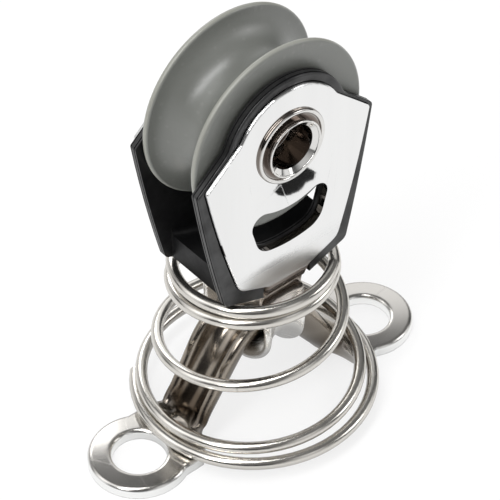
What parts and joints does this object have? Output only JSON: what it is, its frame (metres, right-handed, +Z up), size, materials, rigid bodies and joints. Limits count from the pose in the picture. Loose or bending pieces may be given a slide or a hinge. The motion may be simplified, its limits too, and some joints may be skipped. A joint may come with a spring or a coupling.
{
  "type": "stand-up block",
  "caption": "Pulley block for rope, held upright by a conical spring over a two-screw deck eye strap, with steel side plates, dark cheeks and a grooved sheave.",
  "frame": {"origin": "on the deck plane, midway between the two screw holes of the eye strap", "axes": "+X along the eye strap from screw hole to screw hole, +Y along the sheave's axle at rest, +Z up from the deck"},
  "size_m": [0.0404, 0.0252, 0.0464],
  "materials": {
    "pressed_steel": "polished stainless steel",
    "spring_wire": "bright drawn stainless wire",
    "polished_steel": "polished stainless steel",
    "rivet_steel": "turned and polished stainless steel",
    "black_nylon": "moulded, satin",
    "grey_acetal": "moulded, satin"
  },
  "bodies": {
    "eye_strap": {"eye_strap": "pressed_steel"},
    "spring": {"spring": "spring_wire"},
    "block": {"side_strap": "polished_steel", "block_body": "black_nylon", "axle_rivet": "rivet_steel", "bearing_sleeve": "rivet_steel"},
    "sheave": {"sheave": "grey_acetal"}
  },
  "joints": [
    {"name": "tilt_across_strap", "type": "hinge", "parent": "eye_strap", "child": "spring", "pos_m": [0, 0, 0.01322], "axis": [1, 0, 0], "range_deg": [-20, 20], "stiffness_Nm_per_rad": 0.03, "deforming": ["spring"]},
    {"name": "tilt_along_strap", "type": "hinge", "parent": "spring", "child": "block", "pos_m": [0, 0, 0.00702], "axis": [0, 1, 0], "range_deg": [-20, 20], "stiffness_Nm_per_rad": 0.03, "deforming": ["spring"]},
    {"name": "sheave_spin", "type": "hinge", "parent": "block", "child": "sheave", "pos_m": [0, 0, 0.0364], "axis": [0, 1, 0], "continuous": true}
  ]
}
